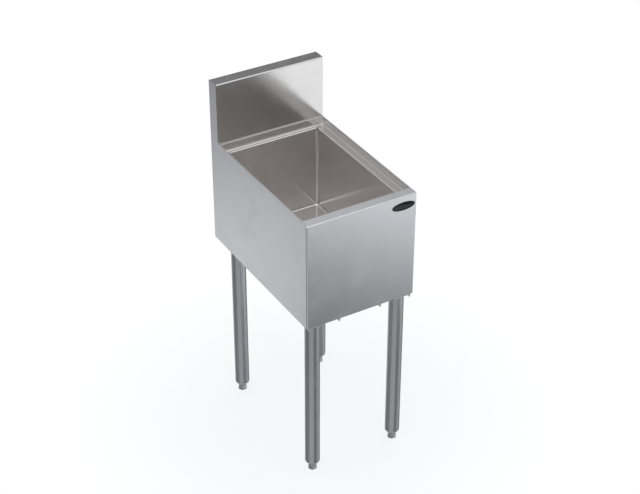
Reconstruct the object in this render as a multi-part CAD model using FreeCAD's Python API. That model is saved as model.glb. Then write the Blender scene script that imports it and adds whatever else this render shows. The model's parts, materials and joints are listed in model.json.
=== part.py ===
import FreeCAD, Part
import math
import os

os.makedirs("parts", exist_ok=True)
Vector = FreeCAD.Vector

# Cabinet, all sizes in millimetres
width = 304.8
depth = 478.0  # front face to rear face
deck_height = 762.0  # floor to the top of the rim
body_height = 292.4  # rim down to the lower edge of the panels
splash_rise = 167.2  # backsplash above the rim
splash_depth = 37.0  # backsplash face to the rear face
splash_return = 25.0  # flange down the back of the backsplash
sheet = 1.2  # steel of the panels and the liner
pan_lip = 12.0  # turned-up edge of the bottom pan

# Bends, outside radii
corner_bend = 4.0  # upright corners of the front panel
rim_bend = 2.4  # panels into their top flanges
splash_bend = 2.4  # top edges of the backsplash
edge_round = 0.5  # eased edges of the rim flanges

# Rim, recessed ledge and bin
front_strip = 27.3  # flat top of the front panel
rim_width = 4.2  # narrow flange on the other three sides
ledge_drop = 22.6  # rim down to the ledge
ledge_side = 20.4
ledge_front = 20.0
ledge_rear = 10.1
bin_depth = 254.0  # rim down to the bin floor
bin_corner = 6.0  # inside radius, wall to wall
floor_cove = 5.0  # inside radius, wall to floor
mouth_bend = 2.5  # ledge down into the walls
ledge_bend = 2.0  # ledge up into the upstand
upstand_corner = 3.0
relief_radius = 2.0  # bend relief at the corners of the mouth
relief_depth = 5.0

# Leg channels under the bottom pan
channel_inset = 6.8  # side of the cabinet to the channel
channel_front = 2.6  # front face to the channel's end
channel_width = 88.0
channel_length = 432.0
channel_drop = 10.6
channel_sheet = 2.0
rivet_radius = 2.0
rivet_head_radius = 4.0
rivet_head_height = 1.2
rivet_tail_radius = 3.2
rivet_tail_height = 1.6
rivet_spread = 44.0  # across the channel
rivet_pitch = 110.0  # along the channel
rivet_rows = 3

# Legs, placed from the channel's outer side and ends
leg_side = 24.1
leg_end = 25.7
tube_radius = 19.05
tube_wall = 1.2
socket_plate = 3.0
socket_margin = 1.1  # socket plate to the edges of the channel
socket_length = 45.0
socket_wall = 3.0
screw_radius = 3.0
screw_head_radius = 4.8
screw_head_height = 2.6

# Feet
hex_flats = 21.2
hex_height = 14.5
cone_height = 14.0
neck_radius = 9.7
sole_chamfer = 0.8
stud_radius = 6.0
stud_length = 45.0
insert_length = 40.0

# Drain in the middle of the bin floor
shank_radius = 18.5  # threaded part through floor and bottom pan
shank_drop = 6.0  # below the locknut
tail_radius = 16.7  # outside of a 1 in pipe thread
tail_length = 40.0
drain_bore = 13.5
flange_radius = 32.0
flange_thickness = 2.5
strainer_radius = 21.5
strainer_thickness = 1.5
strainer_hole = 1.6
strainer_ring = 5.0  # pitch of the rings of holes
strainer_rings = 2
strainer_count = 6  # holes in the innermost ring
gasket_radius = 28.0
gasket_thickness = 3.0
nut_flats = 50.0
nut_height = 10.0

# Plain plate on the front panel
badge_length = 64.5
badge_height = 22.4
badge_thickness = 0.8
badge_side = 38.0  # side of the cabinet to the plate's middle
badge_drop = 26.7  # rim to the plate's middle

# Clearances
press_gap = 0.05  # plugs in tubes, shanks in holes, thread in nut
stud_gap = 0.05  # foot stud in its insert
foot_gap = 0.2  # foot under the tube end
strainer_gap = 0.5
hole_gap = 0.4  # drain shank in sheet, screw in tube
pocket_gap = 2.0  # insulation round the drain and the rivet tails
past = 1.0  # overrun of cutting shapes
in_plane = 0.01  # how far an edge may lie from the plane that it is picked by
head_round = 0.6  # share of a rivet or screw head's height that is rounded

# Planes worked out from the sizes above
left = -width / 2
right = width / 2
front = badge_thickness - (depth + badge_thickness) / 2
rear = front + depth
top = deck_height
bottom = top - body_height
splash_top = top + splash_rise
splash_face = rear - splash_depth
strip_back = front + front_strip
ledge = top - ledge_drop
bin_floor = top - bin_depth
recess_left = left + rim_width
recess_right = right - rim_width
recess_rear = splash_face - rim_width
bin_left = recess_left + ledge_side
bin_right = recess_right - ledge_side
bin_front = strip_back + ledge_front
bin_rear = recess_rear - ledge_rear
bin_middle = (bin_front + bin_rear) / 2
channel_under = bottom - channel_sheet
channel_y = front + channel_front
channel_back = channel_y + channel_length
channel_left = left + channel_inset
channel_right = channel_left + channel_width
leg_x = channel_left + leg_side
leg_front_y = channel_y + leg_end
leg_rear_y = channel_back - leg_end
socket_under = channel_under - socket_plate
tube_end = hex_height + cone_height + foot_gap


def box(x0, x1, y0, y1, z0, z1):
    return Part.makeBox(x1 - x0, y1 - y0, z1 - z0, Vector(x0, y0, z0))


def cylinder(radius, x, y, z0, z1):
    return Part.makeCylinder(radius, z1 - z0, Vector(x, y, z0))


def ring(outer, inner, x, y, z0, z1):
    return cylinder(outer, x, y, z0, z1).cut(cylinder(inner, x, y, z0 - past, z1 + past))


def hexagon(flats, x, y, z0, z1):
    reach = flats / math.sqrt(3)
    corners = []
    for turn in range(0, 361, 60):
        angle = math.radians(turn)
        corners.append(Vector(x + reach * math.cos(angle), y + reach * math.sin(angle), z0))
    return Part.Face(Part.makePolygon(corners)).extrude(Vector(0, 0, z1 - z0))


def edges_in(shape, x=None, y=None, z=None):
    # edges that lie in each of the planes that are given
    found = []
    for edge in shape.Edges:
        ends = edge.BoundBox
        spans = ((x, ends.XMin, ends.XMax), (y, ends.YMin, ends.YMax), (z, ends.ZMin, ends.ZMax))
        if all(at is None or max(abs(low - at), abs(high - at)) < in_plane for at, low, high in spans):
            found.append(edge)
    return found


def upright_edges(shape, across, along):
    return [edge for x in across for y in along for edge in edges_in(shape, x=x, y=y)]


def mirrored(shape):
    return shape.mirror(Vector(0, 0, 0), Vector(1, 0, 0))


def one_solid(shape):
    return shape.removeSplitter().Solids[0]


# Front panel: front face, top strip and two side returns bent from one sheet
def front_block(inset):
    back = strip_back + (past if inset else 0)
    low = bottom - (past if inset else 0)
    sides = (left + inset, right - inset)
    block = box(*sides, front + inset, back, low, top - inset)
    block = block.makeFillet(corner_bend - inset, upright_edges(block, sides, [front + inset]))
    rim = [edge for edge in edges_in(block, z=top - inset) if edge.CenterOfMass.y < back - in_plane]
    return block.makeFillet(rim_bend - inset, rim)


def make_front_panel():
    return one_solid(front_block(0).cut(front_block(sheet)))


# Side panel: rim flange along the top, carried up behind as the end of the backsplash
def make_side_panel():
    skin = box(left, recess_left, strip_back, splash_face, bottom, top)
    skin = skin.makeFillet(rim_bend, edges_in(skin, x=left, z=top))
    skin = skin.makeFillet(edge_round, edges_in(skin, x=recess_left, z=top))
    inside = box(left + sheet, recess_left + past, strip_back - past, splash_face + past,
                 bottom - past, top - sheet)
    inside = inside.makeFillet(rim_bend - sheet, edges_in(inside, x=left + sheet, z=top - sheet))
    end = box(left, left + sheet, splash_face, rear, bottom, splash_top)
    return one_solid(skin.cut(inside).fuse(end))


# Backsplash: face, flat top and a short flange down the back
def splash_block(inset):
    face = splash_face + inset
    back = rear - inset
    crest = splash_top - inset
    block = box(left + sheet, right - sheet, face, back, ledge - sheet, crest)
    bends = [edge for y in (face, back) for edge in edges_in(block, y=y, z=crest)]
    return block.makeFillet(splash_bend - inset, bends)


def make_backsplash():
    below_return = box(left, right, rear - sheet - past, rear + past, bottom, splash_top - splash_return)
    return one_solid(splash_block(0).cut(splash_block(sheet)).cut(below_return))


def make_rear_panel():
    return box(left + sheet, right - sheet, rear - sheet, rear, bottom, splash_top - splash_return)


def rivet_places():
    middle_x = (channel_left + channel_right) / 2
    middle_y = (channel_y + channel_back) / 2
    places = []
    for side in (-1, 1):
        for column in (-0.5, 0.5):
            for row in range(rivet_rows):
                along = (row - (rivet_rows - 1) / 2) * rivet_pitch
                places.append((side * (middle_x + column * rivet_spread), middle_y + along))
    return places


# Bottom pan: tray with turned-up edges between the outer panels
def make_bottom_pan():
    sides = (left + sheet, right - sheet)
    tray = box(*sides, front + sheet, rear - sheet, bottom, bottom + pan_lip)
    tray = tray.makeFillet(corner_bend, upright_edges(tray, sides, [front + sheet]))
    sides = (left + 2 * sheet, right - 2 * sheet)
    hollow = box(*sides, front + 2 * sheet, rear - 2 * sheet, bottom + sheet, bottom + pan_lip + past)
    hollow = hollow.makeFillet(corner_bend - sheet, upright_edges(hollow, sides, [front + 2 * sheet]))
    tray = tray.cut(hollow)
    tray = tray.cut(cylinder(shank_radius + hole_gap, 0, bin_middle, bottom - past, bottom + pan_lip))
    for x, y in rivet_places():
        tray = tray.cut(cylinder(rivet_radius + press_gap, x, y, bottom - past, bottom + pan_lip))
    return one_solid(tray)


# Bin liner: recess and bin as one filled shape, grown outwards by the sheet for the outside
def tub(grow, roof):
    low_ledge = ledge - grow
    recess_x = (recess_left - grow, recess_right + grow)
    recess_y = (strip_back - grow, recess_rear + grow)
    well_x = (bin_left - grow, bin_right + grow)
    well_y = (bin_front - grow, bin_rear + grow)
    recess = box(*recess_x, *recess_y, low_ledge, roof)
    well = box(*well_x, *well_y, bin_floor - grow, low_ledge + ledge_drop / 2)
    shape = recess.fuse(well).removeSplitter()
    shape = shape.makeFillet(bin_corner + grow, upright_edges(shape, well_x, well_y))
    shape = shape.makeFillet(floor_cove + grow, edges_in(shape, z=bin_floor - grow))
    shape = shape.makeFillet(upstand_corner + grow, upright_edges(shape, recess_x, recess_y))
    mouth = [edge for edge in edges_in(shape, z=low_ledge) if in_mouth(edge.CenterOfMass, grow)]
    shape = shape.makeFillet(mouth_bend - grow, mouth)
    foot_line = [edge for edge in edges_in(shape, z=low_ledge)
                 if not in_mouth(edge.CenterOfMass, grow + mouth_bend)]
    return shape.makeFillet(ledge_bend + grow, foot_line)


def in_mouth(point, grow):
    slack = grow + in_plane
    across = bin_left - slack < point.x < bin_right + slack
    return across and bin_front - slack < point.y < bin_rear + slack


def make_bin_liner():
    shell = tub(sheet, top - sheet).cut(tub(0, top + past))
    rear_rim = box(recess_left, recess_right, recess_rear, splash_face, top - sheet, top)
    shell = shell.fuse(rear_rim).removeSplitter()
    shell = shell.makeFillet(edge_round, edges_in(shell, y=recess_rear, z=top))
    inward = bin_corner * (1 - math.sqrt(0.5))
    for x in (bin_left + inward, bin_right - inward):
        for y in (bin_front + inward, bin_rear - inward):
            shell = shell.cut(cylinder(relief_radius, x, y, ledge - relief_depth, ledge + past))
    hole = cylinder(shank_radius + hole_gap, 0, bin_middle, bin_floor - sheet - past, bin_floor + past)
    return shell.cut(hole).Solids[0]


# Insulation boards between the liner and the outer panels
def make_insulation():
    low = bin_floor - sheet
    high = ledge - sheet
    inner_left = left + sheet
    inner_right = right - sheet
    floor = box(inner_left + sheet, inner_right - sheet, front + sheet + corner_bend, rear - 2 * sheet,
                bottom + sheet, low)
    floor = floor.cut(cylinder(shank_radius + pocket_gap, 0, bin_middle, bottom, low + past))
    tail_top = bottom + sheet + rivet_tail_height
    for x, y in rivet_places():
        floor = floor.cut(cylinder(rivet_tail_radius + pocket_gap, x, y, bottom, tail_top))
    well_front = bin_front - sheet
    well_rear = bin_rear + sheet
    front_board = box(inner_left + corner_bend, inner_right - corner_bend,
                      front + sheet, well_front, low, high)
    rear_board = box(inner_left, inner_right, well_rear, rear - sheet, low, high)
    left_board = box(inner_left, bin_left - sheet, well_front, well_rear, low, high)
    front_board = front_board.makeChamfer(mouth_bend, edges_in(front_board, y=well_front, z=high))
    rear_board = rear_board.makeChamfer(mouth_bend, edges_in(rear_board, y=well_rear, z=high))
    left_board = left_board.makeChamfer(mouth_bend, edges_in(left_board, x=bin_left - sheet, z=high))
    lip_space = box(left, right, front, rear, bottom, bottom + pan_lip)
    return {
        "foam_floor": floor,
        "foam_front": one_solid(front_board.cut(lip_space)),
        "foam_rear": one_solid(rear_board.cut(lip_space)),
        "foam_left": one_solid(left_board.cut(lip_space)),
        "foam_right": mirrored(one_solid(left_board.cut(lip_space))),
    }


# Leg channel: web against the bottom pan, two flanges down
def make_leg_channel():
    flange_end = bottom - channel_drop
    channel = box(channel_left, channel_right, channel_y, channel_back, flange_end, bottom)
    hollow = box(channel_left + channel_sheet, channel_right - channel_sheet,
                 channel_y - past, channel_back + past, flange_end - past, channel_under)
    channel = channel.cut(hollow)
    for x, y in rivet_places():
        if x < 0:
            hole = cylinder(rivet_radius + press_gap, x, y, channel_under - past, bottom + past)
            channel = channel.cut(hole)
    return channel


def make_channel_rivets():
    rivets = []
    head_end = channel_under - rivet_head_height
    for x, y in rivet_places():
        head = cylinder(rivet_head_radius, x, y, head_end, channel_under)
        head = head.makeFillet(rivet_head_height * head_round, edges_in(head, z=head_end))
        shank = cylinder(rivet_radius, x, y, head_end + rivet_head_height / 2, bottom + sheet + past)
        tail = cylinder(rivet_tail_radius, x, y, bottom + sheet, bottom + sheet + rivet_tail_height)
        rivets.append(one_solid(head.fuse([shank, tail])))
    return Part.makeCompound(rivets)


leg_places = {
    "front_left": (leg_x, leg_front_y),
    "front_right": (-leg_x, leg_front_y),
    "rear_left": (leg_x, leg_rear_y),
    "rear_right": (-leg_x, leg_rear_y),
}
screw_height = socket_under - socket_length / 2
plug_radius = tube_radius - tube_wall - press_gap


def rod_back(radius, x, y, start, length):
    # round bar that runs straight back from the leg's axis
    return Part.makeCylinder(radius, length, Vector(x, y + start, screw_height), Vector(0, 1, 0))


def make_leg_socket(x, y):
    reach_x = leg_side - channel_sheet - socket_margin
    reach_y = leg_end - socket_margin
    plate = box(x - reach_x, x + reach_x, y - reach_y, y + reach_y, socket_under, channel_under)
    plug = ring(plug_radius, plug_radius - socket_wall, x, y, socket_under - socket_length, socket_under)
    hole = rod_back(screw_radius + press_gap, x, y, 0, tube_radius)
    return one_solid(plate.fuse(plug).cut(hole))


def make_leg_tube(x, y):
    tube = ring(tube_radius, tube_radius - tube_wall, x, y, tube_end, socket_under)
    return tube.cut(rod_back(screw_radius + hole_gap, x, y, 0, tube_radius + past))


def make_set_screw(x, y):
    start = plug_radius - socket_wall
    shank = rod_back(screw_radius, x, y, start, tube_radius + screw_head_height / 2 - start)
    head = rod_back(screw_head_radius, x, y, tube_radius + press_gap, screw_head_height)
    rim_y = y + tube_radius + press_gap + screw_head_height
    head = head.makeFillet(screw_head_height * head_round, edges_in(head, y=rim_y))
    return one_solid(shank.fuse(head))


def make_foot_insert(x, y):
    return ring(plug_radius, stud_radius + stud_gap, x, y, tube_end, tube_end + insert_length)


# Foot: hexagon on the floor, cone up to the tube, stud inside it
def make_foot(x, y):
    cone_top = hex_height + cone_height
    reach = hex_flats / math.sqrt(3)
    sole = Part.makeCone(reach - sole_chamfer, reach, sole_chamfer, Vector(x, y, 0))
    taper = Part.makeCone(reach, neck_radius, hex_height - sole_chamfer, Vector(x, y, sole_chamfer))
    hexagonal = hexagon(hex_flats, x, y, 0, hex_height).common(sole.fuse(taper))
    cone = Part.makeCone(neck_radius, tube_radius, cone_height, Vector(x, y, hex_height))
    stud = cylinder(stud_radius, x, y, cone_top - past, cone_top + stud_length)
    return one_solid(hexagonal.fuse([cone, stud]))


# Drain: flanged body through bin floor and bottom pan, gasket and nut below, strainer on top
flange_top = bin_floor + flange_thickness
strainer_under = flange_top - strainer_thickness
gasket_under = bottom - gasket_thickness
nut_under = gasket_under - nut_height
shank_end = nut_under - shank_drop


def make_drain_body():
    body = cylinder(flange_radius, 0, bin_middle, bin_floor, flange_top)
    body = body.makeFillet(flange_thickness / 2, edges_in(body, z=flange_top))
    shank = cylinder(shank_radius, 0, bin_middle, shank_end, bin_floor + past)
    tail = cylinder(tail_radius, 0, bin_middle, shank_end - tail_length, shank_end + past)
    body = body.fuse([shank, tail])
    seat = cylinder(strainer_radius + strainer_gap, 0, bin_middle, strainer_under, flange_top + past)
    bore = cylinder(drain_bore, 0, bin_middle, shank_end - tail_length - past, flange_top + past)
    return one_solid(body.cut([seat, bore]))


def make_drain_gasket():
    return ring(gasket_radius, shank_radius + press_gap, 0, bin_middle, gasket_under, bottom)


def make_drain_locknut():
    nut = hexagon(nut_flats, 0, bin_middle, nut_under, gasket_under)
    return nut.cut(cylinder(shank_radius + press_gap, 0, bin_middle, nut_under - past, gasket_under + past))


def make_drain_strainer():
    disc = cylinder(strainer_radius, 0, bin_middle, strainer_under, flange_top)
    holes = [cylinder(strainer_hole, 0, bin_middle, strainer_under - past, flange_top + past)]
    for number in range(1, strainer_rings + 1):
        count = strainer_count * number
        for step in range(count):
            turn = 2 * math.pi * step / count
            x = number * strainer_ring * math.cos(turn)
            y = bin_middle + number * strainer_ring * math.sin(turn)
            holes.append(cylinder(strainer_hole, x, y, strainer_under - past, flange_top + past))
    return disc.cut(holes)


# Badge plate: bare plate with round ends
def make_badge_plate():
    x = right - badge_side
    z = top - badge_drop
    end = badge_height / 2
    straight = badge_length / 2 - end
    plate = box(x - straight, x + straight, front - badge_thickness, front, z - end, z + end)
    ends = [Part.makeCylinder(end, badge_thickness, Vector(x + side * straight, front, z), Vector(0, -1, 0))
            for side in (-1, 1)]
    return one_solid(plate.fuse(ends))


nodes = {
    "front_panel": make_front_panel(),
    "side_panel_left": make_side_panel(),
    "side_panel_right": mirrored(make_side_panel()),
    "backsplash": make_backsplash(),
    "rear_panel": make_rear_panel(),
    "bottom_pan": make_bottom_pan(),
    "bin_liner": make_bin_liner(),
    "leg_channel_left": make_leg_channel(),
    "leg_channel_right": mirrored(make_leg_channel()),
    "channel_rivets": make_channel_rivets(),
    "leg_set_screws": Part.makeCompound([make_set_screw(x, y) for x, y in leg_places.values()]),
    "drain_body": make_drain_body(),
    "drain_gasket": make_drain_gasket(),
    "drain_locknut": make_drain_locknut(),
    "drain_strainer": make_drain_strainer(),
    "badge_plate": make_badge_plate(),
}
nodes.update(make_insulation())
for corner, (x, y) in leg_places.items():
    nodes["leg_socket_" + corner] = make_leg_socket(x, y)
    nodes["leg_tube_" + corner] = make_leg_tube(x, y)
    nodes["foot_insert_" + corner] = make_foot_insert(x, y)
    nodes["foot_" + corner] = make_foot(x, y)

for name, shape in nodes.items():
    shape.exportStep("parts/" + name + ".step")
    print(name, len(shape.Solids), "solid", round(shape.Volume / 1000, 2), "cm3", shape.isValid())
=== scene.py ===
import bmesh
import bpy
import json
import math
from mathutils import Matrix, Vector


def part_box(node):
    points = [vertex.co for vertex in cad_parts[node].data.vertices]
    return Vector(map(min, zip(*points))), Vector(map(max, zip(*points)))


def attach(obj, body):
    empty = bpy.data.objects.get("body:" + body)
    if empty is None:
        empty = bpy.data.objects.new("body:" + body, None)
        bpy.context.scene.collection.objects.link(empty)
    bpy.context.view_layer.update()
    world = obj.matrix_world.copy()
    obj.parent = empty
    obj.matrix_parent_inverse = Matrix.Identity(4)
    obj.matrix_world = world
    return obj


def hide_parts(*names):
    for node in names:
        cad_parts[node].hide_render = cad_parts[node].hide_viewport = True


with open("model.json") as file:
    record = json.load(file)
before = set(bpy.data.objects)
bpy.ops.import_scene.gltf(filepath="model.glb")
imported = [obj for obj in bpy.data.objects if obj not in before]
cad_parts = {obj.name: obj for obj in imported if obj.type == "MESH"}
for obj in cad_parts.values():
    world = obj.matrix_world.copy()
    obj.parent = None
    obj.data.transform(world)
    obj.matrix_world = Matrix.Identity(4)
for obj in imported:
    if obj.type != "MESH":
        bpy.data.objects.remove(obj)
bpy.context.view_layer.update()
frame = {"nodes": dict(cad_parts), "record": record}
print("frame loaded:", len(frame["nodes"]), "nodes")


# a socket of a node tree; sums and products of sockets add their Math nodes
class Wire:
    def __init__(self, tree, socket=None):
        self.tree = tree
        self.socket = socket

    def node(self, kind, sockets=None, out=0, **settings):
        made = self.tree.nodes.new(kind)
        for name, value in settings.items():
            setattr(made, name, value)
        for name, value in (sockets or {}).items():
            if isinstance(value, Wire):
                self.tree.links.new(value.socket, made.inputs[name])
            else:
                made.inputs[name].default_value = value
        return Wire(self.tree, made.outputs[out] if made.outputs else None)

    def math(self, operation, first, second=0.0):
        return self.node("ShaderNodeMath", {0: first, 1: second}, operation=operation)

    def __add__(self, other):
        return self.math("ADD", self, other)

    def __radd__(self, other):
        return self.math("ADD", other, self)

    def __sub__(self, other):
        return self.math("SUBTRACT", self, other)

    def __rsub__(self, other):
        return self.math("SUBTRACT", other, self)

    def __mul__(self, other):
        return self.math("MULTIPLY", self, other)

    def __rmul__(self, other):
        return self.math("MULTIPLY", other, self)

    def __abs__(self):
        return self.math("ABSOLUTE", self)

    # 0 below low, 1 above high, eased between
    def step(self, low, high):
        sockets = {"Value": self, "From Min": low, "From Max": high}
        return self.node("ShaderNodeMapRange", sockets, interpolation_type="SMOOTHSTEP")

    # from one value or colour to another
    def blend(self, first, second, kind="FLOAT"):
        at = {"FLOAT": (2, 3, 0), "RGBA": (6, 7, 2)}[kind]
        sockets = {0: self, at[0]: first, at[1]: second}
        return self.node("ShaderNodeMix", sockets, out=at[2], data_type=kind)


def degrees(wire):
    return wire * (180 / math.pi)


# camera, found from the straight edges of the cabinet in the photograph
camera = {
    "place": (-1.6823, -2.8841, 2.7350),
    "turn": -30.62,
    "tilt": 33.55,
    "roll": 0.07,
    "focalPixels": 1582.5,
    "imageWidth": 640,
    "sensor": 36.0,
}


def setCamera():
    turn = math.radians(camera["turn"])
    tilt = math.radians(camera["tilt"])
    back = Vector((math.sin(turn) * math.cos(tilt), -math.cos(turn) * math.cos(tilt), math.sin(tilt)))
    across = Vector((math.cos(turn), math.sin(turn), 0))
    axes = Matrix((across, back.cross(across), back)).transposed()
    bpy.ops.object.camera_add(location=camera["place"])
    made = bpy.context.object
    made.rotation_euler = (axes @ Matrix.Rotation(math.radians(camera["roll"]), 3, "Z")).to_euler()
    made.data.sensor_width = camera["sensor"]
    made.data.lens = camera["focalPixels"] / camera["imageWidth"] * camera["sensor"]
    bpy.context.scene.camera = made
    print("camera set")


# studio round the object: soft cards on a plain grey, placed by turn and height in degrees,
# where turn 0 is straight in front and 90 to the right; a later card covers an earlier one
studio = {
    "plain": 0.42,
    "tint": (0.985, 1.0, 1.02),
    "seam": -75,  # the turn where the angles jump
    "cards": [
        {"turn": 120, "height": -12, "width": 720, "tall": 24, "soft": 4, "level": 0.75},
        {"turn": 120, "height": -72, "width": 720, "tall": 48, "soft": 6, "level": 0.85},
        {"turn": 120, "height": 28, "width": 720, "tall": 56, "soft": 3, "level": 0.66},
        {"turn": 195, "height": 34, "width": 68, "tall": 40, "soft": 4, "level": 0.4},
        {"turn": 132, "height": 44, "width": 54, "tall": 26, "soft": 3, "level": 0.87},
        {"turn": 38, "height": 47, "width": 60, "tall": 16, "soft": 4, "level": 0.3},
        {"turn": 120, "height": 78, "width": 720, "tall": 44, "soft": 4, "level": 1.15},
        {"turn": 150, "height": 21.5, "width": 60, "tall": 16, "soft": 3, "level": 0.03},
        {"turn": 150, "height": -42, "width": 70, "tall": 46, "soft": 7, "level": 1.04},
        {"turn": 222, "height": 0, "width": 44, "tall": 46, "soft": 4, "level": 0.5},
        {"turn": 210, "height": -27.5, "width": 24, "tall": 7, "soft": 3, "level": 0.33},
        {"turn": 248, "height": -40, "width": 70, "tall": 16, "soft": 5, "level": 0.17},
        {"turn": 194, "height": -35.2, "width": 35, "tall": 8.6, "soft": 4, "level": 0.97},
        {"turn": 34, "height": -24, "width": 64, "tall": 17, "soft": 3, "level": 1.28},
        {"turn": 50, "height": -24.3, "width": 34, "tall": 17.6, "soft": 3, "level": 1.28},
        {"turn": 22, "height": -44.6, "width": 46, "tall": 20, "soft": 3, "level": 0.1},
        {"turn": 12, "height": -44, "width": 40, "tall": 20, "soft": 3, "level": 0.1},
        {"turn": 84, "height": -40, "width": 20, "tall": 20, "soft": 10, "level": 0.6},
    ],
}


def setStudio():
    world = bpy.data.worlds.new("studio")
    bpy.context.scene.world = world
    world.use_nodes = True
    tree = world.node_tree
    tree.nodes.clear()
    root = Wire(tree)
    way = root.node("ShaderNodeTexCoord", out="Generated")
    x = way.node("ShaderNodeSeparateXYZ", {0: way}, out="X")
    y = way.node("ShaderNodeSeparateXYZ", {0: way}, out="Y")
    z = way.node("ShaderNodeSeparateXYZ", {0: way}, out="Z")
    seam = math.radians(studio["seam"])
    # turned half round, so that the jump of the arc tangent falls on the seam
    ahead = (math.sin(seam) * x - math.cos(seam) * y) * -1.0
    aside = math.cos(seam) * x + math.sin(seam) * y
    turn = degrees(root.math("ARCTAN2", aside * -1.0, ahead)) + (studio["seam"] + 180)
    height = degrees(root.math("ARCSINE", z))
    level = studio["plain"]
    for card in studio["cards"]:
        soft = card["soft"]
        sideways = (card["width"] / 2 - abs(turn - card["turn"])).step(-soft, soft)
        upright = (card["tall"] / 2 - abs(height - card["height"])).step(-soft, soft)
        level = (sideways * upright).blend(level, card["level"])
    shade = root.node("ShaderNodeBackground", {"Color": (*studio["tint"], 1.0), "Strength": level})
    root.node("ShaderNodeOutputWorld", {"Surface": shade})
    print("studio cards:", len(studio["cards"]))


def newMaterial(name):
    material = bpy.data.materials.new(name)
    material.use_nodes = True
    material.node_tree.nodes.clear()
    return material, Wire(material.node_tree)


# pale floor pane under the legs, thinning out towards its rim
floorPane = {
    "vertices": 96,
    "radius": 0.9,
    "solid": 0.25,
    "thin": 0.85,
    "cover": 0.22,
    "drop": 0.0005,
    "tone": (0.9, 0.9, 0.9, 1.0),
}


def makeFloor():
    pane = floorPane
    bpy.ops.object.select_all(action="DESELECT")
    bpy.ops.mesh.primitive_circle_add(vertices=pane["vertices"], radius=pane["radius"], fill_type="NGON",
                                      location=(0, 0, -pane["drop"]))
    floor = bpy.context.object
    floor.name = "floorPane"
    bpy.ops.object.transform_apply(location=True)
    material, root = newMaterial("floorPane")
    place = root.node("ShaderNodeTexCoord", out="Object")
    far = root.node("ShaderNodeVectorMath", {0: place}, out="Value", operation="LENGTH")
    cover = (1.0 - far.step(pane["solid"], pane["thin"])) * pane["cover"]
    paint = root.node("ShaderNodeBsdfDiffuse", {"Color": pane["tone"]})
    clear = root.node("ShaderNodeBsdfTransparent")
    surface = root.node("ShaderNodeMixShader", {0: cover, 1: clear, 2: paint})
    root.node("ShaderNodeOutputMaterial", {"Surface": surface})
    floor.data.materials.append(material)
    print("floor pane done")


# sheet and bar steel: strokes of the brush along the grain, bands in the rolling, hand marks, and a
# painted highlight on the bends
# grain names the axes that the strokes run along, walls turns them with the face
steels = {
    "acrossSteel": {"tone": (0.64, 0.65, 0.665), "roughness": 0.18, "grain": "X",
                    "metal": 0.94, "bendHighlight": 0.8},
    "alongSteel": {"tone": (0.64, 0.65, 0.665), "roughness": 0.18, "grain": "Y",
                   "metal": 0.94, "bendHighlight": 0.8},
    "splashSteel": {"tone": (0.66, 0.648, 0.642), "roughness": 0.18, "grain": "X",
                    "metal": 0.94, "bendHighlight": 0.8},
    "linerSteel": {"tone": (0.795, 0.768, 0.748), "roughness": 0.15, "grain": "walls", "depth": 0.00006,
                   "metal": 0.8, "bendHighlight": 0.85},
    "channelSteel": {"tone": (0.52, 0.53, 0.54), "roughness": 0.34, "grain": "Y", "marks": 0.08},
    "legSteel": {"tone": (0.55, 0.56, 0.58), "roughness": 0.19, "grain": "Z", "edge": 0.4},
    "turnedSteel": {"tone": (0.42, 0.425, 0.435), "roughness": 0.28, "grain": "XY", "pitch": 0.0003},
    "drainSteel": {"tone": (0.62, 0.62, 0.63), "roughness": 0.2, "grain": "XY", "pitch": 0.0003},
}
brushing = {
    "pitch": 0.0005,  # stroke to stroke
    "stroke": 0.045,  # length of a stroke
    "strokeDetail": 2.0,
    "bandPitch": 0.009,
    "bandLength": 0.6,
    "spread": 0.1,  # darkest and brightest, as a share of the tone
    "contrast": 0.5,
    "bandContrast": 0.25,
    "strokeGloss": 0.06,
    "depth": 0.00012,
    "bump": 0.12,
    "markSize": 0.07,
    "markDetail": 4.0,
    "markSpan": (0.45, 0.75),
    "marks": 0.035,  # rougher where it was handled
    "edge": 0.9,  # gloss left at a grazing look
    "metal": 1.0,  # the rest scatters, as on a matt brushed sheet
    "endSpan": (0.5, 0.9),  # where a wall counts as an end wall
    "bendSpan": (0.88, 0.985),  # where a bend turns into a flat face
    "bendHighlight": 0.0,  # painted highlight: how far the bends are made paler, glossier and fully metal, so that their highlight lines come out brighter
    "bendHighlightTone": (0.97, 0.97, 0.97),
    "bendGloss": 0.6,
}


def stretchedNoise(root, place, grain, across, along):
    scale = [1 / along if axis in grain else 1 / across for axis in "XYZ"]
    vector = root.node("ShaderNodeMapping", {"Vector": place, "Scale": scale})
    sockets = {"Vector": vector, "Scale": 1.0, "Detail": brushing["strokeDetail"]}
    return root.node("ShaderNodeTexNoise", sockets, out="Fac")


def brushed(root, place, grain, across, along):
    if grain != "walls":
        return stretchedNoise(root, place, grain, across, along)
    normal = root.node("ShaderNodeTexCoord", out="Normal")
    facing = abs(root.node("ShaderNodeSeparateXYZ", {0: normal}, out="Y"))
    lengthwise = stretchedNoise(root, place, "Y", across, along)
    crosswise = stretchedNoise(root, place, "X", across, along)
    return facing.step(*brushing["endSpan"]).blend(lengthwise, crosswise)


# 1 where the sheet turns a corner, 0 on its flat faces
def bentPart(root):
    normal = root.node("ShaderNodeTexCoord", out="Normal")
    sides = [abs(root.node("ShaderNodeSeparateXYZ", {0: normal}, out=axis)) for axis in "XYZ"]
    flat = root.math("MAXIMUM", root.math("MAXIMUM", sides[0], sides[1]), sides[2])
    return 1.0 - flat.step(*brushing["bendSpan"])


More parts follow.
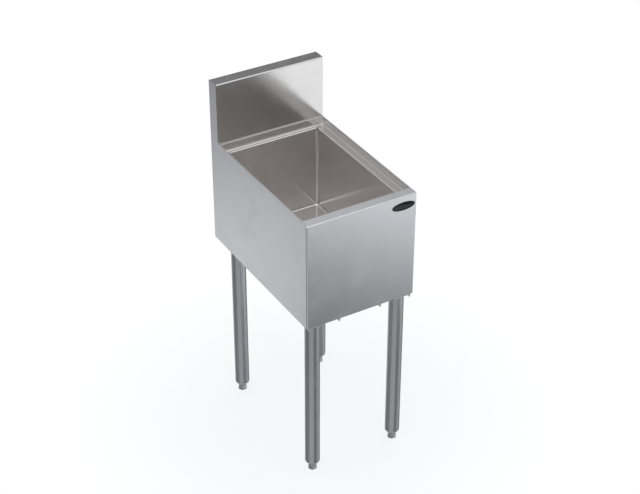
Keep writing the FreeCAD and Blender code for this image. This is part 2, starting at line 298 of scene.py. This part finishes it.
def makeSteel(name, finish):
    finish = {**brushing, **finish}
    material, root = newMaterial(name)
    place = root.node("ShaderNodeTexCoord", out="Object")
    stroke = brushed(root, place, finish["grain"], finish["pitch"], finish["stroke"])
    band = brushed(root, place, finish["grain"], finish["bandPitch"], finish["bandLength"])
    sockets = {"Vector": place, "Scale": 1 / finish["markSize"], "Detail": finish["markDetail"]}
    mark = root.node("ShaderNodeTexNoise", sockets, out="Fac").step(*finish["markSpan"])
    light = (stroke - 0.5) * finish["contrast"] + (band - 0.5) * finish["bandContrast"] + 0.5
    dark = [channel * (1 - finish["spread"]) for channel in finish["tone"]]
    bright = [channel * (1 + finish["spread"]) for channel in finish["tone"]]
    tone = light.blend((*dark, 1.0), (*bright, 1.0), "RGBA")
    roughness = finish["roughness"] + (stroke - 0.5) * finish["strokeGloss"] + mark * finish["marks"]
    metal = finish["metal"]
    # painted highlight: every bend takes a paler tone, lower roughness and full metal, so that its
    # highlight line renders brighter
    if finish["bendHighlight"]:
        bendHighlightShare = bentPart(root) * finish["bendHighlight"]
        tone = bendHighlightShare.blend(tone, (*finish["bendHighlightTone"], 1.0), "RGBA")
        roughness = roughness * (1.0 - bendHighlightShare * finish["bendGloss"])
        metal = bendHighlightShare.blend(metal, 1.0)
    sockets = {"Height": stroke, "Strength": finish["bump"], "Distance": finish["depth"]}
    bump = root.node("ShaderNodeBump", sockets)
    shade = root.node("ShaderNodeBsdfPrincipled", {
        "Base Color": tone, "Metallic": metal, "Roughness": roughness, "Normal": bump,
        "Specular Tint": (finish["edge"], finish["edge"], finish["edge"], 1.0)})
    root.node("ShaderNodeOutputMaterial", {"Surface": shade})
    return material


# moulded, foamed and enamelled finishes: two tones over a fine grain and over larger patches
compounds = {
    "insertNylon": {"dark": (0.035, 0.035, 0.036), "pale": (0.075, 0.075, 0.077), "roughness": 0.46,
                    "grainSize": 0.0006, "patchSize": 0.01, "depth": 0.00008},
    # painted shade: the foam is near black to stand in for the shade in the hollow where it shows
    "foamPaintedShade": {"dark": (0.022, 0.022, 0.024), "pale": (0.06, 0.06, 0.063), "roughness": 0.88,
                  "grainSize": 0.0014, "patchSize": 0.05, "depth": 0.0006},
    "gasketRubber": {"dark": (0.018, 0.018, 0.019), "pale": (0.05, 0.05, 0.05), "roughness": 0.62,
                     "grainSize": 0.0008, "patchSize": 0.012, "depth": 0.00006},
    "badgeEnamel": {"dark": (0.010, 0.010, 0.011), "pale": (0.018, 0.018, 0.020), "roughness": 0.2,
                    "gloss": 0.28, "grainSize": 0.0016, "patchSize": 0.014, "depth": 0.00002},
}
moulding = {
    "gloss": 0.5,
    "patchDetail": 4.0,
    "patchSpan": (0.4, 0.7),
    "patchShare": 0.65,  # the fine grain has the rest
    "patchGloss": 0.12,
    "bump": 0.4,
}


def makeCompound(name, finish):
    finish = {**moulding, **finish}
    material, root = newMaterial(name)
    place = root.node("ShaderNodeTexCoord", out="Object")
    sockets = {"Vector": place, "Scale": 1 / finish["grainSize"]}
    cell = root.node("ShaderNodeTexVoronoi", sockets, out="Distance")
    sockets = {"Vector": place, "Scale": 1 / finish["patchSize"], "Detail": finish["patchDetail"]}
    patch = root.node("ShaderNodeTexNoise", sockets, out="Fac").step(*finish["patchSpan"])
    mix = patch * finish["patchShare"] + cell * (1 - finish["patchShare"])
    tone = mix.blend((*finish["dark"], 1.0), (*finish["pale"], 1.0), "RGBA")
    roughness = finish["roughness"] + (patch - 0.5) * finish["patchGloss"]
    sockets = {"Height": cell, "Strength": finish["bump"], "Distance": finish["depth"]}
    bump = root.node("ShaderNodeBump", sockets)
    shade = root.node("ShaderNodeBsdfPrincipled", {
        "Base Color": tone, "Roughness": roughness, "Normal": bump, "Specular IOR Level": finish["gloss"]})
    root.node("ShaderNodeOutputMaterial", {"Surface": shade})
    return material


# which finish each slot of the frame takes, and the nodes that have one of their own
slotFinish = {
    "panel_steel": "acrossSteel",
    "liner_steel": "linerSteel",
    "frame_steel": "channelSteel",
    "leg_steel": "legSteel",
    "foot_steel": "turnedSteel",
    "drain_steel": "drainSteel",
    "insert_nylon": "insertNylon",
    "foam_board": "foamPaintedShade",
    "gasket_rubber": "gasketRubber",
    "badge_enamel": "badgeEnamel",
}
nodeFinish = {
    "side_panel_left": "alongSteel",
    "side_panel_right": "alongSteel",
    "bottom_pan": "alongSteel",
    "backsplash": "splashSteel",
}
corners = ("front_left", "front_right", "rear_left", "rear_right")


def dressFrame():
    slotOf = {part["node"]: part["material_slot"] for part in frame["record"]["subparts"]}
    for name, node in frame["nodes"].items():
        finish = nodeFinish.get(name, slotFinish[slotOf[name]])
        node.material_slots[0].material = finishes[finish]
    print("frame dressed:", len(frame["nodes"]), "nodes")


# values that the modelling helpers share
modelling = {
    "smoothAngle": 32,
    "bevelSegments": 2,
    "weld": 0.000002,
    "threadWeld": 0.005,  # share of the pitch
    "past": 0.01,  # overrun of cutting shapes
    "hexTurn": 30,  # a corner of the hexagon to the right
}


def takeAlone(piece):
    bpy.ops.object.select_all(action="DESELECT")
    piece.select_set(True)
    bpy.context.view_layer.objects.active = piece


def middleOf(node):
    low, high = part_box(node)
    return (low + high) / 2


# angles of a quarter circle, in even steps
def quarterTurn(steps):
    return [math.radians(90 * step / steps) for step in range(steps + 1)]


# from a disc, ring by ring upwards: each ring is a radius and a height
def turnPiece(name, rings, vertices, turn=0):
    bpy.ops.object.select_all(action="DESELECT")
    radius, height = rings[0]
    bpy.ops.mesh.primitive_circle_add(vertices=vertices, radius=radius, fill_type="NGON",
                                      location=(0, 0, height), rotation=(0, 0, math.radians(turn)))
    piece = bpy.context.object
    piece.name = name
    bpy.ops.object.transform_apply(location=True, rotation=True)
    bpy.ops.object.mode_set(mode="EDIT")
    bpy.ops.mesh.select_mode(type="VERT")
    bpy.ops.mesh.select_all(action="SELECT")
    for (before, low), (after, high) in zip(rings, rings[1:]):
        bpy.ops.mesh.extrude_region_move(TRANSFORM_OT_translate={"value": (0, 0, high - low)})
        ratio = after / before
        bpy.ops.transform.resize(value=(ratio, ratio, 1), center_override=(0, 0, high))
    bpy.ops.mesh.select_all(action="SELECT")
    bpy.ops.mesh.normals_make_consistent(inside=False)
    bpy.ops.object.mode_set(mode="OBJECT")
    return piece


# a round thread: a ring set off the axis, led round it up one turn in steps, and repeated
def threadRod(name, crest, root, pitch, low, high, vertices, steps):
    offset = (crest - root) / 2
    bpy.ops.object.select_all(action="DESELECT")
    bpy.ops.mesh.primitive_circle_add(vertices=vertices, radius=(crest + root) / 2, fill_type="NOTHING",
                                      location=(offset, 0, low))
    rod = bpy.context.object
    rod.name = name
    bpy.ops.object.transform_apply(location=True)
    bpy.ops.object.mode_set(mode="EDIT")
    bpy.ops.mesh.select_mode(type="VERT")
    bpy.ops.mesh.select_all(action="SELECT")
    for step in range(steps):
        before, after = 2 * math.pi * step / steps, 2 * math.pi * (step + 1) / steps
        aside = offset * (math.cos(after) - math.cos(before))
        ahead = offset * (math.sin(after) - math.sin(before))
        bpy.ops.mesh.extrude_region_move(TRANSFORM_OT_translate={"value": (aside, ahead, pitch / steps)})
    bpy.ops.object.mode_set(mode="OBJECT")
    bpy.ops.object.modifier_add(type="ARRAY")
    repeat = rod.modifiers[-1]
    repeat.count = int((high - low) / pitch)
    repeat.use_relative_offset = False
    repeat.use_constant_offset = True
    repeat.constant_offset_displace = (0, 0, pitch)
    repeat.use_merge_vertices = True
    repeat.merge_threshold = pitch * modelling["threadWeld"]
    bpy.ops.object.modifier_apply(modifier=repeat.name)
    bpy.ops.object.mode_set(mode="EDIT")
    bpy.ops.mesh.select_all(action="SELECT")
    bpy.ops.mesh.fill_holes(sides=0)
    bpy.ops.mesh.select_all(action="SELECT")
    bpy.ops.mesh.normals_make_consistent(inside=False)
    bpy.ops.object.mode_set(mode="OBJECT")
    return rod


def combine(piece, tool, operation):
    takeAlone(piece)
    bpy.ops.object.modifier_add(type="BOOLEAN")
    cut = piece.modifiers[-1]
    cut.operation = operation
    cut.solver = "EXACT"
    cut.object = tool
    bpy.ops.object.modifier_apply(modifier=cut.name)
    bpy.data.objects.remove(tool)
    bpy.ops.object.mode_set(mode="EDIT")
    bpy.ops.mesh.select_all(action="SELECT")
    bpy.ops.mesh.remove_doubles(threshold=modelling["weld"])
    bpy.ops.mesh.dissolve_degenerate(threshold=modelling["weld"])
    bpy.ops.object.mode_set(mode="OBJECT")


def smoothFaces(piece, angle=modelling["smoothAngle"]):
    takeAlone(piece)
    bpy.ops.object.shade_smooth_by_angle(angle=math.radians(angle))


def easeEdges(piece, width, angle):
    takeAlone(piece)
    bpy.ops.object.modifier_add(type="BEVEL")
    bevel = piece.modifiers[-1]
    bevel.width = width
    bevel.segments = modelling["bevelSegments"]
    bevel.limit_method = "ANGLE"
    bevel.angle_limit = math.radians(angle)
    bpy.ops.object.modifier_apply(modifier=bevel.name)
    smoothFaces(piece)


def copyTo(piece, name, place):
    takeAlone(piece)
    bpy.ops.object.duplicate(linked=False)
    made = bpy.context.object
    made.name = name
    made.location = place
    bpy.ops.object.transform_apply(location=True)
    return made


def seat(piece, body, slot, node):
    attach(piece, body)
    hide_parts(node)
    piece.data.materials.clear()
    piece.data.materials.append(finishes[slotFinish[slot]])


# levelling foot: hexagon on the floor, swept up to the tube, threaded stud
levellingFoot = {
    "vertices": 64,
    "flats": 0.0212,
    "hexHeight": 0.0145,
    "neck": 0.0097,
    "chamfer": 0.0008,
    "tubeGap": 0.0002,
    "edgeLip": 0.0012,  # straight rim below the tube
    "sweepRings": 12,
    "dieRadius": 0.05,  # hexagon die, wide above the hexagon
    "dieTop": 0.1,
    "stud": 0.006,
    "studVertices": 24,
    "threadDepth": 0.0008,
    "threadSteps": 12,
    "pitch": 0.0018,
    "sink": 0.004,
    "ease": 0.0003,
    "easeAngle": 50,
}


def makeFeet():
    foot = levellingFoot
    low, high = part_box("foot_front_left")
    edge = (high.y - low.y) / 2
    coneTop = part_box("leg_tube_front_left")[0].z - foot["tubeGap"]
    hexTop = foot["hexHeight"]
    reach = foot["flats"] / math.sqrt(3)
    rings = [(reach - foot["chamfer"], 0), (reach, foot["chamfer"]), (foot["neck"], hexTop)]
    sweep = coneTop - foot["edgeLip"] - hexTop
    for step in range(1, foot["sweepRings"] + 1):
        part = step / foot["sweepRings"]
        swell = (1 - math.cos(math.pi * part)) / 2
        rings.append((foot["neck"] + (edge - foot["neck"]) * swell, hexTop + sweep * part))
    rings.append((edge, coneTop))
    shape = turnPiece("footShape", rings, foot["vertices"])
    dieRings = [(reach, -modelling["past"]), (reach, hexTop),
                (foot["dieRadius"], hexTop), (foot["dieRadius"], foot["dieTop"])]
    combine(shape, turnPiece("hexDie", dieRings, 6, modelling["hexTurn"]), "INTERSECT")
    easeEdges(shape, foot["ease"], foot["easeAngle"])
    stud = threadRod("footStud", foot["stud"], foot["stud"] - foot["threadDepth"], foot["pitch"],
                     coneTop - foot["sink"], high.z, foot["studVertices"], foot["threadSteps"])
    combine(shape, stud, "UNION")
    smoothFaces(shape)
    for corner in corners:
        middle = middleOf("foot_" + corner)
        piece = copyTo(shape, "levellingFoot_" + corner, (middle.x, middle.y, 0))
        seat(piece, "levelling_foot_" + corner, "foot_steel", "foot_" + corner)
    bpy.data.objects.remove(shape)
    print("feet:", len(corners))


# button-head screw with a hexagon socket, from behind through each tube into its plug
setScrew = {
    "vertices": 48,
    "head": 0.0048,
    "headHeight": 0.0026,
    "headRim": 0.0007,
    "domeSteps": 6,
    "crown": 0.0027,  # flat round the socket
    "shank": 0.003,
    "inside": 0.0043,  # shank from the tube's face to the inside of the plug
    "flats": 0.0032,
    "socket": 0.0016,
    "tipShare": 0.4,  # drilled end of the socket
    "tipDepth": 0.0004,
    "keyPast": 0.001,
    "gap": 0.00005,  # head to the tube
}


def makeSetScrews():
    screw = setScrew
    low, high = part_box("leg_set_screws")
    rings = [(screw["shank"], -screw["inside"]), (screw["shank"], 0), (screw["head"], 0)]
    dome = screw["headHeight"] - screw["headRim"]
    for lean in quarterTurn(screw["domeSteps"]):
        radius = screw["crown"] + (screw["head"] - screw["crown"]) * math.cos(lean)
        rings.append((radius, screw["headRim"] + dome * math.sin(lean)))
    shape = turnPiece("screwShape", rings, screw["vertices"])
    reach = screw["flats"] / math.sqrt(3)
    depth = screw["headHeight"] - screw["socket"]
    keyRings = [(reach * screw["tipShare"], depth - screw["tipDepth"]), (reach, depth),
                (reach, screw["headHeight"] + screw["keyPast"])]
    combine(shape, turnPiece("screwKey", keyRings, 6), "DIFFERENCE")
    smoothFaces(shape)
    shape.rotation_euler = (-math.pi / 2, 0, 0)
    bpy.ops.object.transform_apply(rotation=True)
    for corner in corners:
        tubeLow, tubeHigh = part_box("leg_tube_" + corner)
        place = ((tubeLow.x + tubeHigh.x) / 2, tubeHigh.y + screw["gap"], (low.z + high.z) / 2)
        piece = copyTo(shape, "setScrew_" + corner, place)
        seat(piece, "cabinet", "foot_steel", "leg_set_screws")
    bpy.data.objects.remove(shape)
    print("set screws:", len(corners))


# blind rivet: domed head under the channel, broken-off pin in its middle, upset tail in the pan
blindRivet = {
    "vertices": 40,
    "head": 0.004,
    "headHeight": 0.0012,
    "rimShare": 0.2,  # straight rim of the head
    "domeSteps": 6,
    "pit": 0.0012,
    "pitDepth": 0.0006,
    "pitLean": 0.0001,
    "pitEdge": 0.0002,
    "pin": 0.0008,
    "pinShare": 0.4,  # end of the pin, as a share of the pit
    "shank": 0.002,
    "tail": 0.0032,
    "tailHeight": 0.0016,
    "tailSide": 0.7,  # straight side, then narrower to the end
    "tailEnd": 0.75,
    "grip": 0.0032,  # channel and pan together
    "spread": 0.044,
    "pitch": 0.11,
    "rows": 3,
}


def makeRivets():
    rivet = blindRivet
    face = -rivet["headHeight"]
    pitFloor = face + rivet["pitDepth"]
    rings = [(rivet["pin"], face + rivet["pitDepth"] * rivet["pinShare"]), (rivet["pin"], pitFloor),
             (rivet["pit"], pitFloor), (rivet["pit"], face + rivet["pitLean"])]
    inner = rivet["pit"] + rivet["pitEdge"]
    for lean in quarterTurn(rivet["domeSteps"]):
        radius = inner + (rivet["head"] - inner) * math.sin(lean)
        rings.append((radius, face * (rivet["rimShare"] + (1 - rivet["rimShare"]) * math.cos(lean))))
    rings += [(rivet["head"], 0), (rivet["shank"], 0), (rivet["shank"], rivet["grip"]),
              (rivet["tail"], rivet["grip"]),
              (rivet["tail"], rivet["grip"] + rivet["tailHeight"] * rivet["tailSide"]),
              (rivet["tail"] * rivet["tailEnd"], rivet["grip"] + rivet["tailHeight"])]
    shape = turnPiece("rivetShape", rings, rivet["vertices"])
    smoothFaces(shape)
    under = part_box("channel_rivets")[0].z + rivet["headHeight"]
    count = 0
    for side in ("left", "right"):
        middle = middleOf("leg_channel_" + side)
        for column in (-0.5, 0.5):
            for row in range(rivet["rows"]):
                count += 1
                along = (row - (rivet["rows"] - 1) / 2) * rivet["pitch"]
                place = (middle.x + column * rivet["spread"], middle.y + along, under)
                piece = copyTo(shape, "channelRivet_" + str(count), place)
                seat(piece, "cabinet", "frame_steel", "channel_rivets")
    bpy.data.objects.remove(shape)
    print("rivets:", count)


# bare oval plate: low rim round a field that lies a little deeper
ovalPlate = {
    "vertices": 96,
    "frontNormal": -0.9,  # faces that look further forward than this
    "rim": 0.0011,
    "fieldDrop": 0.00035,
    "ease": 0.00015,
    "easeAngle": 40,
}


def makeOvalPlate():
    plate = ovalPlate
    low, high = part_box("badge_plate")
    bpy.ops.object.select_all(action="DESELECT")
    bpy.ops.mesh.primitive_cylinder_add(vertices=plate["vertices"], radius=0.5, depth=1,
                                        rotation=(math.pi / 2, 0, 0))
    piece = bpy.context.object
    piece.name = "ovalPlate"
    bpy.ops.object.transform_apply(rotation=True)
    piece.scale = high - low
    piece.location = middleOf("badge_plate")
    bpy.ops.object.transform_apply(location=True, scale=True)
    bpy.ops.object.mode_set(mode="EDIT")
    bpy.ops.mesh.select_mode(type="FACE")
    bpy.ops.mesh.select_all(action="DESELECT")
    mesh = bmesh.from_edit_mesh(piece.data)
    for face in mesh.faces:
        face.select = face.normal.y < plate["frontNormal"]
    bmesh.update_edit_mesh(piece.data)
    bpy.ops.mesh.inset(thickness=plate["rim"], depth=0)
    bpy.ops.mesh.extrude_region_move(TRANSFORM_OT_translate={"value": (0, plate["fieldDrop"], 0)})
    bpy.ops.mesh.select_all(action="SELECT")
    bpy.ops.mesh.normals_make_consistent(inside=False)
    bpy.ops.object.mode_set(mode="OBJECT")
    easeEdges(piece, plate["ease"], plate["easeAngle"])
    seat(piece, "cabinet", "badge_enamel", "badge_plate")
    print("plate on the front panel done")


# hexagon nut of the drain, chamfered on both faces
drainNut = {
    "vertices": 96,
    "flats": 0.05,
    "bore": 0.01855,
    "lean": 0.0022,
    "ease": 0.0004,
    "easeAngle": 50,
}


def makeDrainNut():
    nut = drainNut
    low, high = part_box("drain_locknut")
    middle = middleOf("drain_locknut")
    reach = nut["flats"] / math.sqrt(3)
    flat = nut["flats"] / 2
    under, over = low.z - modelling["past"], high.z + modelling["past"]
    rings = [(flat, low.z), (reach, low.z + nut["lean"]), (reach, high.z - nut["lean"]), (flat, high.z)]
    shape = turnPiece("nutShape", rings, nut["vertices"])
    die = turnPiece("nutDie", [(reach, under), (reach, over)], 6, modelling["hexTurn"])
    combine(shape, die, "INTERSECT")
    bore = turnPiece("nutBore", [(nut["bore"], under), (nut["bore"], over)], nut["vertices"])
    combine(shape, bore, "DIFFERENCE")
    easeEdges(shape, nut["ease"], nut["easeAngle"])
    piece = copyTo(shape, "drainNut", (middle.x, middle.y, 0))
    bpy.data.objects.remove(shape)
    seat(piece, "cabinet", "drain_steel", "drain_locknut")
    print("drain nut done")


# flanged drain body with its seat for the strainer, threaded shank and threaded tail
drainBody = {
    "vertices": 96,
    "flange": 0.032,
    "flangeHeight": 0.0025,
    "domeSteps": 6,
    "seat": 0.022,
    "seatDepth": 0.0015,
    "bore": 0.0135,
    "shank": 0.0185,
    "tail": 0.0167,
    "tailLength": 0.04,
    "threadDepth": 0.0009,
    "threadVertices": 48,
    "threadSteps": 16,
    "pitch": 0.0024,
    "swell": 0.00005,  # plain shank over the crests
    "overlap": 0.0035,
    "smoothAngle": 40,
}


def makeDrainBody():
    drain = drainBody
    low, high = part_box("drain_body")
    middle = middleOf("drain_body")
    floor = high.z - drain["flangeHeight"]
    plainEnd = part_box("drain_locknut")[1].z  # no thread above the nut
    shankEnd = low.z + drain["tailLength"]
    plain = drain["shank"] + drain["swell"]
    rings = [(plain, plainEnd), (plain, floor), (drain["flange"], floor)]
    dome = drain["flangeHeight"] / 2
    for lean in quarterTurn(drain["domeSteps"]):
        rings.append((drain["flange"] - dome * (1 - math.cos(lean)), floor + dome + dome * math.sin(lean)))
    shape = turnPiece("drainShape", rings, drain["vertices"])
    spans = {"shank": (shankEnd, plainEnd), "tail": (low.z, shankEnd)}
    for name, (start, end) in spans.items():
        rod = threadRod(name + "Thread", drain[name], drain[name] - drain["threadDepth"], drain["pitch"],
                        start, end + drain["overlap"], drain["threadVertices"], drain["threadSteps"])
        combine(shape, rod, "UNION")
    seatFloor = high.z - drain["seatDepth"]
    boreRings = [(drain["bore"], low.z - modelling["past"]), (drain["bore"], seatFloor),
                 (drain["seat"], seatFloor), (drain["seat"], high.z + modelling["past"])]
    combine(shape, turnPiece("drainBore", boreRings, drain["vertices"]), "DIFFERENCE")
    smoothFaces(shape, drain["smoothAngle"])
    piece = copyTo(shape, "drainBody", (middle.x, middle.y, 0))
    bpy.data.objects.remove(shape)
    seat(piece, "cabinet", "drain_steel", "drain_body")
    print("drain body done")


setCamera()
setStudio()
makeFloor()
finishes = {name: makeSteel(name, finish) for name, finish in steels.items()}
finishes.update({name: makeCompound(name, finish) for name, finish in compounds.items()})
print("finishes:", len(finishes))
dressFrame()
makeFeet()
makeSetScrews()
makeRivets()
makeOvalPlate()
makeDrainNut()
makeDrainBody()

bpy.context.scene.view_settings.view_transform = "Standard"
